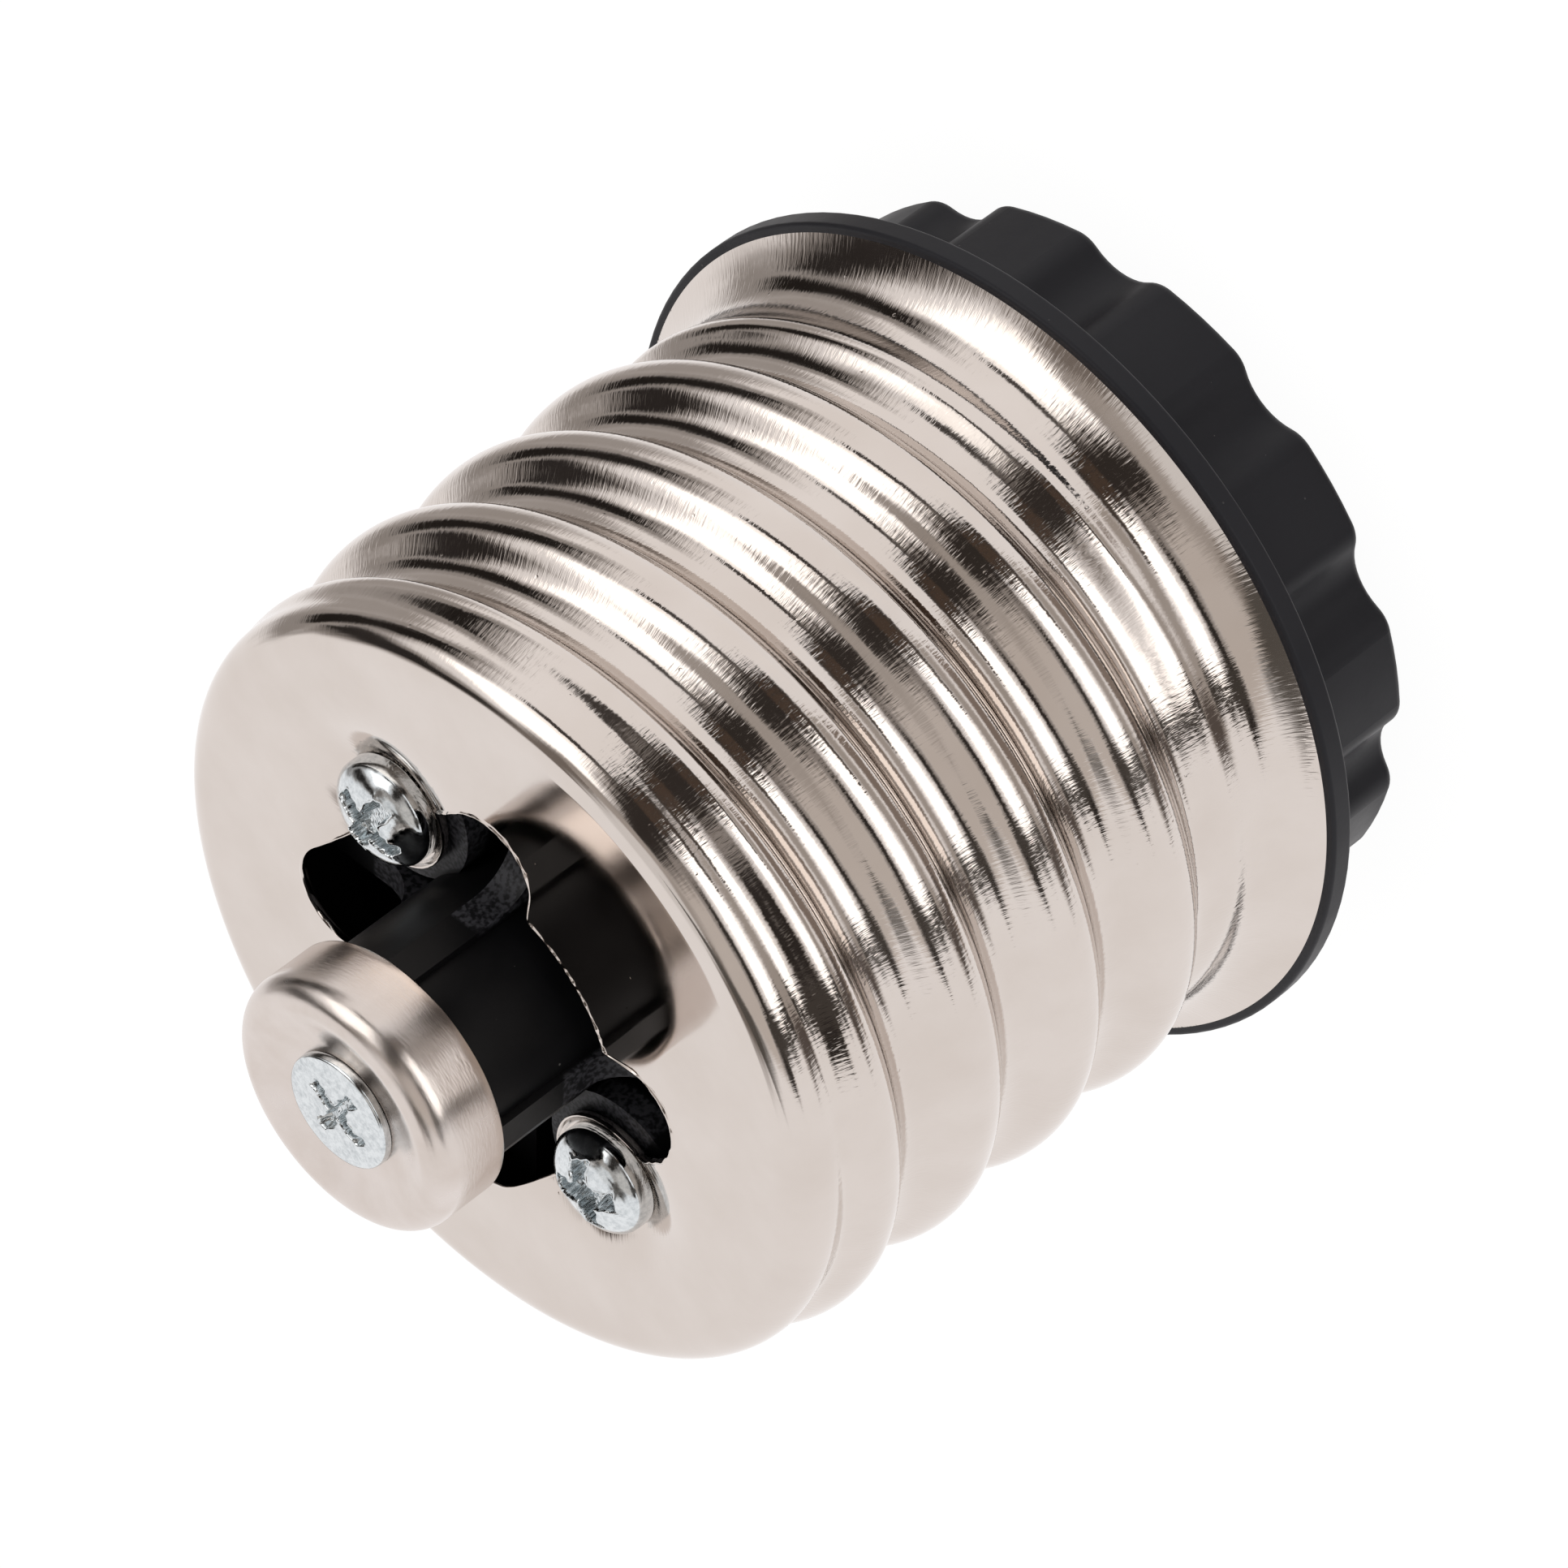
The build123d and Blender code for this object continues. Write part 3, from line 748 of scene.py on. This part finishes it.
az = add(
    tree,
    "ShaderNodeMath",
    {1: 180 / pi},
    {0: azimuth.outputs[0], 2: wobble.outputs[0]},
    operation="MULTIPLY_ADD",
)
el = add(
    tree,
    "ShaderNodeMath",
    {1: 180 / pi},
    {0: height.outputs[0], 2: wobble.outputs[0]},
    operation="MULTIPLY_ADD",
)
cream = (1.04, 1.02, 1.02, 1)
cards = [
    # azimuth from, to, elevation from, to, soft edge (all in degrees), radiance. Cards over 1.4
    # are soft boxes, those under 0.13 flags, the rest the room. A later card covers earlier ones.
    (-50, 22, -60, 15, 8, (1.06, 1.03, 1.02)),
    (-10, 64, -18, 19, 12, (0.36, 0.335, 0.32)),
    (0, 50, -5, 12, 6, (0.02, 0.017, 0.015)),
    (22, 58, 16, 68, 12, (0.34, 0.315, 0.30)),
    (31, 50, 18, 64, 6, (0.03, 0.026, 0.024)),
    (16, 60, -42, -14, 16, (0.42, 0.39, 0.37)),
    (-200, 200, 62, 95, 10, (0.22, 0.19, 0.17)),
    (-125, -10, 64, 86, 10, (0.46, 0.42, 0.39)),
    (58, 150, 25, 82, 12, (1.04, 1.02, 1.02)),
    (-200, 200, 77, 100, 8, (0.85, 0.83, 0.82)),
    (-195, -141, 53, 95, 12, (0.11, 0.10, 0.09)),
    (-145, -66, 30, 66, 12, (0.66, 0.61, 0.57)),
    (-145, -62, 14, 32, 7, (0.38, 0.35, 0.33)),
    (-145, -62, 17, 26, 4, (0.035, 0.03, 0.027)),
    (-145, -66, -46, -28, 8, (0.46, 0.42, 0.39)),
    (-165, -70, -78, -53, 8, (0.27, 0.22, 0.19)),
    (-135, -122, -32, 32, 5, (0.07, 0.062, 0.055)),
    (-153, -133, -64, -32, 9, (0.12, 0.10, 0.09)),
    (-124, -75, -22, 6, 7, (2.0, 1.96, 1.93)),
    (-41, 9, 24, 59, 9, (2.0, 1.95, 1.9)),
    (-50, -20, 19, 27, 4, (1.5, 1.46, 1.42)),
    (-60, -22, 11, 18, 3, (0.06, 0.052, 0.048)),
    (-86, -47, 14, 64, 12, (0.34, 0.31, 0.29)),
    (-75, -53, -26, 66, 7, (0.04, 0.034, 0.03)),
    (-90, -60, -27, -20, 4, (0.08, 0.065, 0.055)),
    (-71, -58, -20, 10, 9, (0.085, 0.06, 0.045)),
    (84, 96, -62, -38, 4, (0.12, 0.10, 0.08)),
]
colour = add(tree, "ShaderNodeRGB")
colour.outputs[0].default_value = cream
for az_from, az_to, el_from, el_to, soft, radiance in cards:
    masks = []
    for value, low, high in ((az, az_from, az_to), (el, el_from, el_to)):
        for start, end in ((low - soft / 2, low + soft / 2), (high + soft / 2, high - soft / 2)):
            masks.append(
                add(
                    tree,
                    "ShaderNodeMapRange",
                    {"From Min": start, "From Max": end},
                    {"Value": value.outputs[0]},
                    interpolation_type="SMOOTHSTEP",
                )
            )
    mask = masks[0]
    for other in masks[1:]:
        mask = add(
            tree,
            "ShaderNodeMath",
            {},
            {0: mask.outputs[0], 1: other.outputs[0]},
            operation="MULTIPLY",
        )
    colour = add(
        tree,
        "ShaderNodeMixRGB",
        {"Color2": (*radiance, 1)},
        {"Fac": mask.outputs[0], "Color1": colour.outputs[0]},
    )
room = add(tree, "ShaderNodeBackground", {}, {"Color": colour.outputs[0]})
paper = add(tree, "ShaderNodeBackground", {"Color": (1, 1, 1, 1), "Strength": 1})
# Matt surfaces only need the room's average, which also keeps the render short.
plain = add(tree, "ShaderNodeBackground", {"Color": (0.80, 0.78, 0.77, 1), "Strength": 1})
seen = add(tree, "ShaderNodeLightPath")
unseen = add(
    tree,
    "ShaderNodeMixShader",
    {},
    {0: seen.outputs["Is Diffuse Ray"], 1: room.outputs[0], 2: plain.outputs[0]},
)
mixed = add(
    tree,
    "ShaderNodeMixShader",
    {},
    {0: seen.outputs["Is Camera Ray"], 1: unseen.outputs[0], 2: paper.outputs[0]},
)
world.cycles.sampling_method = "NONE"
add(tree, "ShaderNodeOutputWorld", {}, {"Surface": mixed.outputs[0]})


# Table: white laminate, which the camera sees as clean white with a trace of shadow. The
# metal looks through it to the room, and it lies a hair under the collar's foot.
floor_mesh = bpy.data.meshes.new("table_top")
half_table, table_z = 3.0, -0.02 * mm
signs = ((-1, -1), (1, -1), (1, 1), (-1, 1))
corners = [(x * half_table, y * half_table, table_z) for x, y in signs]
floor_mesh.from_pydata(corners, [], [(0, 1, 2, 3)])
floor = bpy.data.objects.new("table_top", floor_mesh)
bpy.context.scene.collection.objects.link(floor)
white = bpy.data.materials.new("white_table_laminate")
white.use_nodes = True
tree = white.node_tree
tree.nodes.clear()
matt = add(tree, "ShaderNodeBsdfDiffuse", {"Color": tone("#F4F4F4")})
glow = add(tree, "ShaderNodeEmission", {"Color": (1, 1, 1, 1), "Strength": 1.08})
seen = add(tree, "ShaderNodeLightPath")
bright = add(tree, "ShaderNodeMixShader", {0: 0.88}, {1: matt.outputs[0], 2: glow.outputs[0]})
table = add(
    tree,
    "ShaderNodeMixShader",
    {},
    {0: seen.outputs["Is Camera Ray"], 1: matt.outputs[0], 2: bright.outputs[0]},
)
clear = add(tree, "ShaderNodeBsdfTransparent")
whole = add(
    tree,
    "ShaderNodeMixShader",
    {},
    {0: seen.outputs["Is Glossy Ray"], 1: table.outputs[0], 2: clear.outputs[0]},
)
add(tree, "ShaderNodeOutputMaterial", {}, {"Surface": whole.outputs[0]})
floor_mesh.materials.append(white)


# Camera: a long lens, placed where the photograph's edges put it. Angles are in radians and
# lengths in millimetres, measured from a point on the axis.
bpy.context.scene.view_settings.view_transform = "Standard"
look_az, look_tilt, roll = radians(-77.3), 1.0224, -2.2107
distance, aside, below = 366.587, 0.115, 6.5644
back = Vector((sin(look_tilt) * cos(look_az), sin(look_tilt) * sin(look_az), cos(look_tilt)))
right = Vector((-sin(look_az), cos(look_az), 0))
up = Vector((-cos(look_tilt) * cos(look_az), -cos(look_tilt) * sin(look_az), sin(look_tilt)))
centre = Vector((0, 0, 29)) + back * distance - right * aside - up * below
image_right = right * cos(roll) + up * sin(roll)
image_up = up * cos(roll) - right * sin(roll)
camera = bpy.data.objects.new("camera", bpy.data.cameras.new("camera"))
camera.data.sensor_width = 36
camera.data.lens = 192.02
camera.data.clip_start = 0.01
camera.data.clip_end = 20
matrix = Matrix((image_right, image_up, back)).transposed().to_4x4()
matrix.translation = centre * mm
camera.matrix_world = matrix
bpy.context.scene.collection.objects.link(camera)
bpy.context.scene.camera = camera
